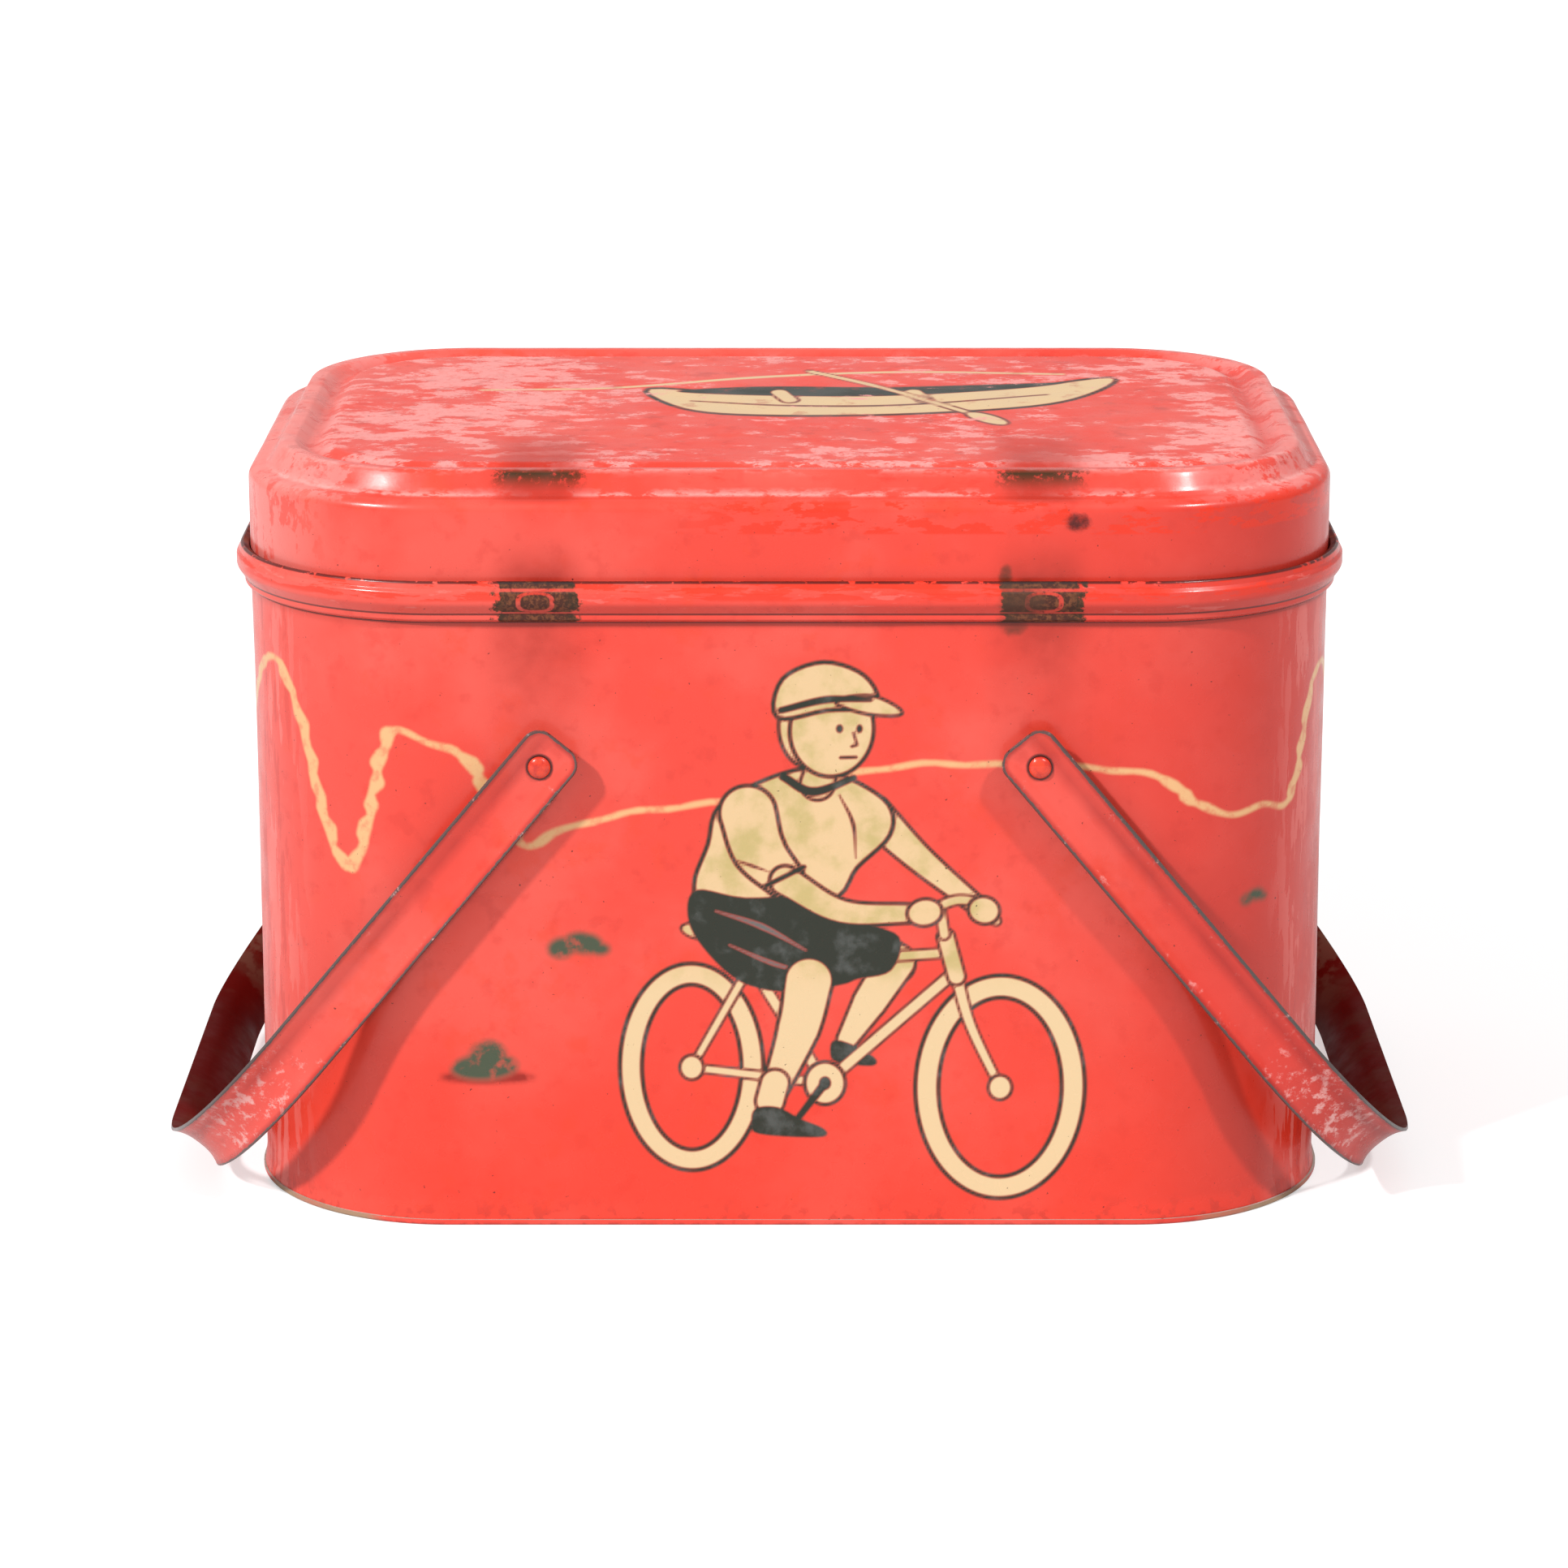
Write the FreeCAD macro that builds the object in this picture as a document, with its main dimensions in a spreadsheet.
import FreeCAD, Part
import math
import os

import Sketcher
from FreeCAD import Placement, Rotation, Vector

# A tinplate lunch box: a seamed body with a rim band round its mouth, a slip lid, and two U-shaped strip
# handles that swing on rivets. Millimetres, +Z up, +X to the object's right, -Y is its front. The origin is on
# the table, under the middle of the box, and both handles hang down at its ends. A height is measured from the
# table, and a "proud" or "inset" size is measured outwards or inwards from the body wall's outer face.
DIMENSIONS = {
    # The plan of the body wall's outer face, which every sheet ring follows.
    "body_width": 200.0,
    "body_depth": 135.2,
    "corner_radius": 36.7,
    "sheet_gauge": 0.4,
    # The foot, where the bottom panel is folded over the wall's flared edge.
    "foot_proud": 0.88,
    "foot_fold_height": 1.1,
    "foot_edge_radius": 0.5,
    "flare_proud": 0.46,
    "flare_start": 0.44,
    "flare_radius": 2.0,
    "flare_height": 4.2,
    "flare_top_radius": 8.0,
    "bottom_foot_inset": 1.5,
    "bottom_foot_radius": 0.7,
    "bottom_recess": 3.2,
    "bottom_step_inset": 2.2,
    "bottom_step_radius": 0.9,
    "bottom_plate_inset": 6.0,
    "bottom_plate_overlap": 1.5,
    # The wall's mouth: a ledge that carries the lid, and a neck that guides it from inside.
    "ledge_height": 116.2,
    "ledge_radius": 0.45,
    "neck_inset": 0.76,
    "neck_rise": 0.6,
    "neck_foot_radius": 0.25,
    "neck_top": 126.4,
    "neck_top_radius": 0.9,
    "neck_curl_inset": 2.4,
    "neck_curl_rise": 0.2,
    "seam_strip_width": 7.0,
    "seam_strip_thickness": 0.8,
    "seam_strip_bottom": 5.0,
    "seam_strip_top": 113.0,
    # The rim band: a narrow ridge, a hollow bead, a lip, and an inner leg beside the lid's skirt.
    "band_foot_gap": 0.02,
    "band_foot_height": 114.7,
    "ridge_proud": 1.25,
    "ridge_low": 115.2,
    "ridge_low_radius": 0.5,
    "ridge_high": 116.2,
    "ridge_high_radius": 0.3,
    "bead_proud": 2.7,
    "bead_low": 118.3,
    "bead_low_radius": 1.6,
    "bead_high": 120.4,
    "bead_high_radius": 0.9,
    "lip_crease_proud": 2.15,
    "lip_crease_height": 121.1,
    "lip_crease_radius": 0.3,
    "lip_proud": 1.75,
    "lip_top": 122.6,
    "lip_radius": 0.5,
    "leg_proud": 0.3,
    "leg_top": 121.9,
    "leg_top_radius": 0.45,
    "leg_bottom": 117.8,
    # The lid: skirt, rounded shoulder, cove, riser, crest ring, groove and top panel.
    "skirt_bottom": 117.1,
    "shoulder_height": 136.5,
    "shoulder_radius": 2.3,
    "cove_inset": 3.7,
    "cove_height": 136.9,
    "cove_radius": 1.6,
    "crest_outer_inset": 6.1,
    "crest_inner_inset": 8.7,
    "crest_height": 141.1,
    "crest_radius": 1.2,
    "groove_inset": 11.4,
    "groove_height": 139.2,
    "groove_radius": 1.8,
    "panel_inset": 14.6,
    "panel_height": 140.8,
    "panel_radius": 2.0,
    "panel_overlap": 2.5,
    # The handles: a shallow channel, open outwards, bent into a U.
    "strip_gauge": 0.6,
    "strip_width": 10.8,
    "channel_depth": 1.2,
    "channel_bend_inset": 1.3,
    "channel_radius": 3.2,
    "arm_stand_off": 3.6,
    "handle_reach": 106.4,
    "handle_bend_radius": 37.6,
    "arm_overhang": 5.9,
    "arm_end_radius": 3.0,
    "handle_angle": 39.67,
    # The pivots: rivet, spacer outside the wall and washer inside it.
    "pivot_offset": 45.07,
    "pivot_height": 88.6,
    "shank_radius": 1.4,
    "hole_clearance": 0.05,
    "spacer_radius": 3.0,
    "spacer_length": 2.8,
    "head_seat": 3.75,
    "head_radius": 2.05,
    "head_rim_height": 0.65,
    "head_rim_radius": 0.5,
    "head_height": 1.1,
    "head_crown_width": 1.0,
    "head_crown_radius": 2.0,
    "washer_radius": 3.4,
    "washer_thickness": 0.5,
    "tail_radius": 2.3,
    "tail_height": 0.9,
    "tail_edge_radius": 0.7,
    # How far the cutters reach past what they cut.
    "cutter_margin": 5.0,
    "end_cutter_margin": 0.5,
    "end_cutter_outset": 1.0,
    "end_cutter_clearance": 0.05,
}

doc = FreeCAD.newDocument("lunch_box")
dims = doc.addObject("Spreadsheet::Sheet", "dims")
for row, (alias, value) in enumerate(DIMENSIONS.items(), start=1):
    dims.set(f"A{row}", alias)
    dims.set(f"B{row}", str(value))
    dims.setAlias(f"B{row}", alias)
doc.recompute()

ORIGIN = (-1, 1)
VERTICAL_AXIS = -2
HALF_WIDTH = "dims.body_width / 2"
HALF_DEPTH = "dims.body_depth / 2"
HOLE_RADIUS = "(dims.shank_radius + dims.hole_clearance)"
TOUCHING = 1e-6


def number(expression):
    """What an expression in the sheet's sizes comes to."""
    return float(dims.evalExpression(expression))


def proud(expression="0"):
    """The place, in a ring's cross-section, of a point that far outside the wall's outer face."""
    return f"{HALF_DEPTH} + ({expression})"


def inset(expression):
    return f"{HALF_DEPTH} - ({expression})"


def bind(sketch, name, expression, *constraint):
    """Adds a sketch constraint with a size, and binds that size to the sheet."""
    index = sketch.addConstraint(Sketcher.Constraint(*constraint, number(expression)))
    sketch.renameConstraint(index, name)
    sketch.setExpression(f"Constraints.{name}", expression)


def place_point(sketch, name, point, across, up):
    """Fixes a sketch point at expressions for its two coordinates."""
    bind(sketch, f"{name}_across", across, "DistanceX", *ORIGIN, *point)
    bind(sketch, f"{name}_up", up, "DistanceY", *ORIGIN, *point)


def end_at(sketch, geometry, place):
    """The (geometry, point) pair of the end of a line or arc that lies at a place."""
    start = sketch.getPoint(geometry, 1)
    return (geometry, 1) if start.distanceToPoint(place) < TOUCHING else (geometry, 2)


def rounded_corner(before, corner, after, radius):
    """The two ends and the middle of the arc of that radius that rounds a corner."""
    inwards = (before - corner).normalize()
    onwards = (after - corner).normalize()
    half_angle = inwards.getAngle(onwards) / 2
    tangent_length = radius / math.tan(half_angle)
    bisector = (inwards + onwards).normalize()
    middle = corner + bisector * (radius / math.sin(half_angle) - radius)
    return corner + inwards * tangent_length, middle, corner + onwards * tangent_length


def draw(sketch, corners, closed=False):
    """Draws straight lines from corner to corner. A corner is (across, up, radius), all of them expressions,
    and one whose radius is None stays sharp. Every corner and every radius is bound to the sheet."""
    places = [Vector(number(across), number(up), 0) for across, up, _ in corners]
    count = len(corners)
    leaves, arrives, rounds = list(places), list(places), {}
    for i, (_, _, radius) in enumerate(corners):
        if radius is not None:
            rounds[i] = rounded_corner(places[i - 1], places[i], places[(i + 1) % count], number(radius))
            arrives[i], _, leaves[i] = rounds[i]
    lines = [
        sketch.addGeometry(Part.LineSegment(leaves[i], arrives[(i + 1) % count]), False)
        for i in range(count if closed else count - 1)
    ]
    for i, (across, up, radius) in enumerate(corners):
        name = f"corner_{i}"
        before = lines[i - 1] if closed or i > 0 else None
        after = lines[i] if i < len(lines) else None
        if radius is not None:
            arc = sketch.addGeometry(Part.Arc(*rounds[i]), False)
            corner = sketch.addGeometry(Part.Point(places[i]), True)
            place_point(sketch, name, (corner, 1), across, up)
            for line, place in ((before, arrives[i]), (after, leaves[i])):
                sketch.addConstraint(Sketcher.Constraint("PointOnObject", corner, 1, line))
                ends = (*end_at(sketch, line, place), *end_at(sketch, arc, place))
                sketch.addConstraint(Sketcher.Constraint("Tangent", *ends))
            bind(sketch, f"{name}_radius", radius, "Radius", arc)
            continue
        if before is not None and after is not None:
            sketch.addConstraint(Sketcher.Constraint("Coincident", before, 2, after, 1))
        place_point(sketch, name, (before, 2) if after is None else (after, 1), across, up)


def draw_plan(sketch, inset_size="0"):
    """Draws the body's rounded rectangle, that far inside the wall's outer face, starting mid-front."""
    width, depth = f"{HALF_WIDTH} - ({inset_size})", f"{HALF_DEPTH} - ({inset_size})"
    radius_size = f"dims.corner_radius - ({inset_size})"
    x, y, radius = number(width), number(depth), number(radius_size)
    side_x, side_y = x - radius, y - radius

    def line(start, end):
        return sketch.addGeometry(Part.LineSegment(Vector(*start, 0), Vector(*end, 0)), False)

    def quarter(centre_x, centre_y, start_degrees):
        circle = Part.Circle(Vector(centre_x, centre_y, 0), Vector(0, 0, 1), radius)
        start = math.radians(start_degrees)
        return sketch.addGeometry(Part.ArcOfCircle(circle, start, start + math.pi / 2), False)

    front_right = line((0, -y), (side_x, -y))
    corner = quarter(side_x, -side_y, -90)
    right = line((x, -side_y), (x, side_y))
    back_right = quarter(side_x, side_y, 0)
    back = line((side_x, y), (-side_x, y))
    back_left = quarter(-side_x, side_y, 90)
    left = line((-x, side_y), (-x, -side_y))
    front_left_corner = quarter(-side_x, -side_y, 180)
    front_left = line((-side_x, -y), (0, -y))
    loop = [front_right, corner, right, back_right, back, back_left, left, front_left_corner, front_left]
    for one, following in zip(loop, loop[1:]):
        sketch.addConstraint(Sketcher.Constraint("Tangent", one, 2, following, 1))
    sketch.addConstraint(Sketcher.Constraint("Coincident", front_left, 2, front_right, 1))
    sketch.addConstraint(Sketcher.Constraint("PointOnObject", front_right, 1, VERTICAL_AXIS))
    for flat in (front_right, back, front_left):
        sketch.addConstraint(Sketcher.Constraint("Horizontal", flat))
    for upright in (right, left):
        sketch.addConstraint(Sketcher.Constraint("Vertical", upright))
    for arc in (back_right, back_left, front_left_corner):
        sketch.addConstraint(Sketcher.Constraint("Equal", corner, arc))
    bind(sketch, "corner_radius", radius_size, "Radius", corner)
    bind(sketch, "right_side", width, "DistanceX", *ORIGIN, right, 1)
    bind(sketch, "left_side", f"-({width})", "DistanceX", *ORIGIN, left, 1)
    bind(sketch, "front_side", f"-({depth})", "DistanceY", *ORIGIN, front_right, 1)
    bind(sketch, "back_side", depth, "DistanceY", *ORIGIN, back, 1)


def free_sketch(name, placement=None):
    sketch = doc.addObject("Sketcher::SketchObject", name)
    sketch.Placement = placement or Placement()
    return sketch


def bent_sheet(name, placement, corners, gauge, path):
    """A sheet of one gauge: its outer face's section is drawn, thickened inwards and swept along a path."""
    section = free_sketch(f"{name}_section", placement)
    draw(section, corners)
    thick = doc.addObject("Part::Offset2D", f"{name}_thick_section")
    thick.Source = section
    thick.Mode = "Skin"
    thick.Join = "Intersection"
    thick.Fill = True
    thick.setExpression("Value", gauge)
    sweep = doc.addObject("Part::Sweep", f"{name}_sweep")
    sweep.Sections = [thick]
    sweep.Spine = (path, [])
    sweep.Solid = True
    sweep.Frenet = False
    return sweep


def ring(name, corners):
    """A sheet ring round the body's plan. Its section stands in the plane x = 0, at the front."""
    upright = Placement(Vector(), Rotation(Vector(0, -1, 0), Vector(0, 0, 1), Vector(-1, 0, 0), "XYZ"))
    return bent_sheet(name, upright, corners, "dims.sheet_gauge", plan)


def plate(name, inset_size, underside):
    """A flat sheet with the body's plan, that far inside the wall's outer face."""
    outline = free_sketch(f"{name}_outline")
    draw_plan(outline, inset_size)
    outline.setExpression("Placement.Base.z", underside)
    flat = doc.addObject("Part::Extrusion", f"{name}_flat")
    flat.Base = outline
    flat.DirMode = "Custom"
    flat.Dir = Vector(0, 0, 1)
    flat.Solid = True
    flat.setExpression("LengthFwd", "dims.sheet_gauge")
    return flat


def fused(name, *shapes):
    union = doc.addObject("Part::MultiFuse", name)
    union.Shapes = list(shapes)
    union.Refine = True
    return union


def cut(name, base, *tools):
    """Base without tools."""
    tool = tools[0] if len(tools) == 1 else fused(f"{name}_cutters", *tools)
    difference = doc.addObject("Part::Cut", name)
    difference.Base = base
    difference.Tool = tool
    difference.Refine = True
    return difference


def hole_cutter(name, x, z, length):
    """A cylinder along Y, centred on y = 0, for a rivet hole through the front and the back alike."""
    cylinder = doc.addObject("Part::Cylinder", name)
    cylinder.Placement = Placement(Vector(), Rotation(Vector(1, 0, 0), 90))
    cylinder.setExpression("Radius", HOLE_RADIUS)
    cylinder.setExpression("Height", length)
    cylinder.setExpression("Placement.Base.x", x)
    cylinder.setExpression("Placement.Base.y", f"({length}) / 2")
    cylinder.setExpression("Placement.Base.z", z)
    return cylinder


def block(name, low, size):
    """A box from its lowest corner and its three sizes, all of them expressions."""
    box = doc.addObject("Part::Box", name)
    for axis, place in zip("xyz", low):
        box.setExpression(f"Placement.Base.{axis}", place)
    for side, length in zip(("Length", "Width", "Height"), size):
        box.setExpression(side, length)
    return box


def make_body_wall():
    """One sheet, wrapped round and locked in a fold up the middle of the back, with holes for the rivets."""
    shell = ring(
        "wall",
        [
            (proud("dims.flare_proud"), "dims.flare_start", None),
            (proud("dims.flare_proud"), "dims.foot_fold_height", "dims.flare_radius"),
            (proud(), "dims.flare_height", "dims.flare_top_radius"),
            (proud(), "dims.ledge_height", "dims.ledge_radius"),
            (inset("dims.neck_inset"), "dims.ledge_height + dims.neck_rise", "dims.neck_foot_radius"),
            (inset("dims.neck_inset"), "dims.neck_top", "dims.neck_top_radius"),
            (inset("dims.neck_curl_inset"), "dims.neck_top + dims.neck_curl_rise", None),
        ],
    )
    seam = block(
        "wall_lock_seam",
        (
            "-dims.seam_strip_width / 2",
            f"{HALF_DEPTH} - dims.seam_strip_thickness - dims.sheet_gauge / 2",
            "dims.seam_strip_bottom",
        ),
        (
            "dims.seam_strip_width",
            "dims.seam_strip_thickness",
            "dims.seam_strip_top - dims.seam_strip_bottom",
        ),
    )
    through = "dims.body_depth + 2 * dims.cutter_margin"
    holes = [
        hole_cutter(f"wall_hole_{side}", f"{sign} * dims.pivot_offset", "dims.pivot_height", through)
        for side, sign in (("left", -1), ("right", 1))
    ]
    return cut("body_wall", fused("wall_with_seam", shell, seam), *holes)


def make_bottom_panel():
    """The recessed bottom, folded up over the wall's flared edge to make the foot."""
    fold = ring(
        "foot",
        [
            (inset("dims.bottom_plate_inset"), "dims.bottom_recess", None),
            (inset("dims.bottom_step_inset"), "dims.bottom_recess", "dims.bottom_step_radius"),
            (inset("dims.bottom_foot_inset"), "0", "dims.bottom_foot_radius"),
            (proud("dims.foot_proud"), "0", "dims.foot_edge_radius"),
            (proud("dims.foot_proud"), "dims.foot_fold_height", None),
        ],
    )
    middle = plate("bottom", "dims.bottom_plate_inset - dims.bottom_plate_overlap", "dims.bottom_recess")
    return fused("bottom_panel", fold, middle)


def make_rim_band():
    """A hollow band round the mouth: ridge, bead, lip, and an inner leg just clear of the lid's skirt."""
    return ring(
        "rim_band",
        [
            (proud("dims.sheet_gauge + dims.band_foot_gap"), "dims.band_foot_height", None),
            (proud("dims.ridge_proud"), "dims.ridge_low", "dims.ridge_low_radius"),
            (proud("dims.ridge_proud"), "dims.ridge_high", "dims.ridge_high_radius"),
            (proud("dims.bead_proud"), "dims.bead_low", "dims.bead_low_radius"),
            (proud("dims.bead_proud"), "dims.bead_high", "dims.bead_high_radius"),
            (proud("dims.lip_crease_proud"), "dims.lip_crease_height", "dims.lip_crease_radius"),
            (proud("dims.lip_proud"), "dims.lip_top", "dims.lip_radius"),
            (proud("dims.leg_proud"), "dims.leg_top", "dims.leg_top_radius"),
            (proud("dims.leg_proud"), "dims.leg_bottom", None),
        ],
    )


def make_lid_shell():
    """The slip lid, drawn from one sheet: skirt, shoulder, riser, crest ring, groove and top panel."""
    border = ring(
        "lid",
        [
            (proud(), "dims.skirt_bottom", None),
            (proud(), "dims.shoulder_height", "dims.shoulder_radius"),
            (inset("dims.cove_inset"), "dims.cove_height", "dims.cove_radius"),
            (inset("dims.crest_outer_inset"), "dims.crest_height", "dims.crest_radius"),
            (inset("dims.crest_inner_inset"), "dims.crest_height", "dims.crest_radius"),
            (inset("dims.groove_inset"), "dims.groove_height", "dims.groove_radius"),
            (inset("dims.panel_inset"), "dims.panel_height", "dims.panel_radius"),
            (inset("dims.panel_inset + 2 * dims.panel_overlap"), "dims.panel_height", None),
        ],
    )
    top = plate("lid_top", "dims.panel_inset + dims.panel_overlap", "dims.panel_height - dims.sheet_gauge")
    return fused("lid_shell", border, top)


def end_cutter(name, stand, sign):
    """What rounds one corner of both arm ends: a square corner with a quarter circle left out of it."""
    edge, radius = "dims.strip_width / 2", "dims.arm_end_radius"
    past_round = f"{radius} + dims.end_cutter_margin"
    inner = f"{sign} * ({edge} - ({past_round}))"
    rounded = f"{sign} * ({edge} + dims.end_cutter_clearance)"
    outer = f"{sign} * ({edge} + dims.end_cutter_outset)"
    outline = free_sketch(f"{name}_outline", Placement(Vector(), Rotation(Vector(1, 0, 0), 90)))
    draw(
        outline,
        [
            ("-dims.end_cutter_outset", inner, None),
            ("0", inner, None),
            ("0", rounded, radius),
            (past_round, rounded, None),
            (past_round, outer, None),
            ("-dims.end_cutter_outset", outer, None),
        ],
        closed=True,
    )
    prism = doc.addObject("Part::Extrusion", name)
    prism.Base = outline
    prism.DirMode = "Normal"
    prism.Solid = True
    prism.Symmetric = True
    prism.setExpression("LengthFwd", f"2 * ({stand} + dims.cutter_margin)")
    return prism


def make_handle(name, side):
    """A channel strip bent into a U round one end of the box, with rounded ends and a rivet hole in each arm.
    In its own frame its arms run along +X from their ends at x = 0. It turns about Y to hang outwards."""
    reach = "dims.handle_reach + dims.arm_overhang"
    stand = f"({HALF_DEPTH} + dims.arm_stand_off)"
    bend = "dims.handle_bend_radius"
    path = free_sketch(f"{name}_path")
    front, back = f"-{stand}", stand
    draw(path, [("0", front, None), (reach, front, bend), (reach, back, bend), ("0", back, None)])
    edge, fold = "dims.strip_width / 2", "(dims.strip_width / 2 - dims.channel_bend_inset)"
    lip = f"{stand} + dims.channel_depth"
    strip = bent_sheet(
        name,
        Placement(Vector(), Rotation(Vector(0, -1, 0), Vector(0, 0, 1), Vector(-1, 0, 0), "XYZ")),
        [
            (lip, f"-{edge}", None),
            (stand, f"-{fold}", "dims.channel_radius"),
            (stand, fold, "dims.channel_radius"),
            (lip, edge, None),
        ],
        "dims.strip_gauge",
        path,
    )
    hole = hole_cutter(f"{name}_hole", "dims.arm_overhang", "0", f"2 * ({stand} + dims.cutter_margin)")
    rounding = [end_cutter(f"{name}_end_{place}", stand, sign) for place, sign in (("low", -1), ("high", 1))]
    handle = cut(name, strip, hole, *rounding)
    handle.Placement = Placement(Vector(), Rotation(Vector(0, 1, 0), 90))
    handle.setExpression("Placement.Rotation.Angle", f"90 - {side} * dims.handle_angle")
    across = "dims.arm_overhang * sin(dims.handle_angle * 1 deg)"
    up = "dims.arm_overhang * cos(dims.handle_angle * 1 deg)"
    handle.setExpression("Placement.Base.x", f"{side} * (dims.pivot_offset - {across})")
    handle.setExpression("Placement.Base.z", f"dims.pivot_height + {up}")
    return handle


def body_sketch(body, name, role):
    """A sketch on one of the body's own origin planes."""
    sketch = body.newObject("Sketcher::SketchObject", name)
    plane = next(feature for feature in body.Origin.OriginFeatures if feature.Role == role)
    sketch.AttachmentSupport = [(plane, "")]
    sketch.MapMode = "FlatFace"
    return sketch


def stand_on_wall(body, side, face, along):
    """Puts a body whose axis is its own +Z at a pivot, pointing outwards, that far from the wall's face."""
    body.Placement = Placement(Vector(), Rotation(Vector(1, 0, 0), -90 * face))
    body.setExpression("Placement.Base.x", f"{side} * dims.pivot_offset")
    body.setExpression("Placement.Base.y", f"{face} * ({HALF_DEPTH} + {along})")
    body.setExpression("Placement.Base.z", "dims.pivot_height")


def make_rivet(name, side, face):
    """A round-headed rivet: its shank passes arm, spacer, wall and washer, and its tail is spread inside."""
    body = doc.addObject("PartDesign::Body", name)
    outline = body_sketch(body, f"{name}_outline", "XZ_Plane")
    tail_seat = "-(dims.sheet_gauge + dims.washer_thickness)"
    top = "dims.head_seat + dims.head_height"
    draw(
        outline,
        [
            ("0", f"{tail_seat} - dims.tail_height", None),
            ("dims.tail_radius", f"{tail_seat} - dims.tail_height", "dims.tail_edge_radius"),
            ("dims.tail_radius", tail_seat, None),
            ("dims.shank_radius", tail_seat, None),
            ("dims.shank_radius", "dims.head_seat", None),
            ("dims.head_radius", "dims.head_seat", None),
            ("dims.head_radius", "dims.head_seat + dims.head_rim_height", "dims.head_rim_radius"),
            ("dims.head_crown_width", top, "dims.head_crown_radius"),
            ("0", top, None),
        ],
        closed=True,
    )
    turned = body.newObject("PartDesign::Revolution", f"{name}_turned")
    turned.Profile = outline
    turned.ReferenceAxis = (outline, ["V_Axis"])
    turned.Angle = 360
    body.Tip = turned
    stand_on_wall(body, side, face, "0")
    return body


def make_round_washer(name, side, face, outer_radius, thickness, along):
    """A flat ring round a rivet's shank."""
    body = doc.addObject("PartDesign::Body", name)
    outline = body_sketch(body, f"{name}_outline", "XY_Plane")
    for part, radius in (("outer", outer_radius), ("bore", HOLE_RADIUS)):
        circle = outline.addGeometry(Part.Circle(Vector(), Vector(0, 0, 1), number(radius)), False)
        outline.addConstraint(Sketcher.Constraint("Coincident", circle, 3, *ORIGIN))
        bind(outline, f"{part}_radius", radius, "Radius", circle)
    pad = body.newObject("PartDesign::Pad", f"{name}_pad")
    pad.Profile = outline
    pad.setExpression("Length", thickness)
    body.Tip = pad
    stand_on_wall(body, side, face, along)
    return body


plan = free_sketch("plan")
draw_plan(plan)

nodes = {
    "body_wall": make_body_wall(),
    "bottom_panel": make_bottom_panel(),
    "rim_band": make_rim_band(),
    "lid_shell": make_lid_shell(),
    "left_handle": make_handle("left_handle", -1),
    "right_handle": make_handle("right_handle", 1),
}
for face_name, face in (("front", -1), ("back", 1)):
    for side_name, side in (("left", -1), ("right", 1)):
        place = f"{face_name}_{side_name}"
        nodes[f"rivet_{place}"] = make_rivet(f"rivet_{place}", side, face)
        nodes[f"spacer_{place}"] = make_round_washer(
            f"spacer_{place}", side, face, "dims.spacer_radius", "dims.spacer_length", "0"
        )
        nodes[f"washer_{place}"] = make_round_washer(
            f"washer_{place}",
            side,
            face,
            "dims.washer_radius",
            "dims.washer_thickness",
            "(-dims.sheet_gauge - dims.washer_thickness)",
        )
doc.recompute()

for item in doc.Objects:
    if {"Invalid", "Error"} & set(item.State):
        raise RuntimeError(f"{item.Name} failed: {item.State}")
for label, item in nodes.items():
    item.Label = label
    shape = item.Shape
    if shape.isNull() or not shape.isValid() or len(shape.Solids) != 1:
        raise RuntimeError(f"{label} is not one valid solid")

os.makedirs("parts", exist_ok=True)
for label, item in nodes.items():
    item.Shape.exportStep(f"parts/{label}.step")
    box = item.Shape.BoundBox
    print(
        f"{label}: {item.Shape.Volume:.1f} mm3, x {box.XMin:.2f} to {box.XMax:.2f},"
        f" y {box.YMin:.2f} to {box.YMax:.2f}, z {box.ZMin:.2f} to {box.ZMax:.2f}"
    )
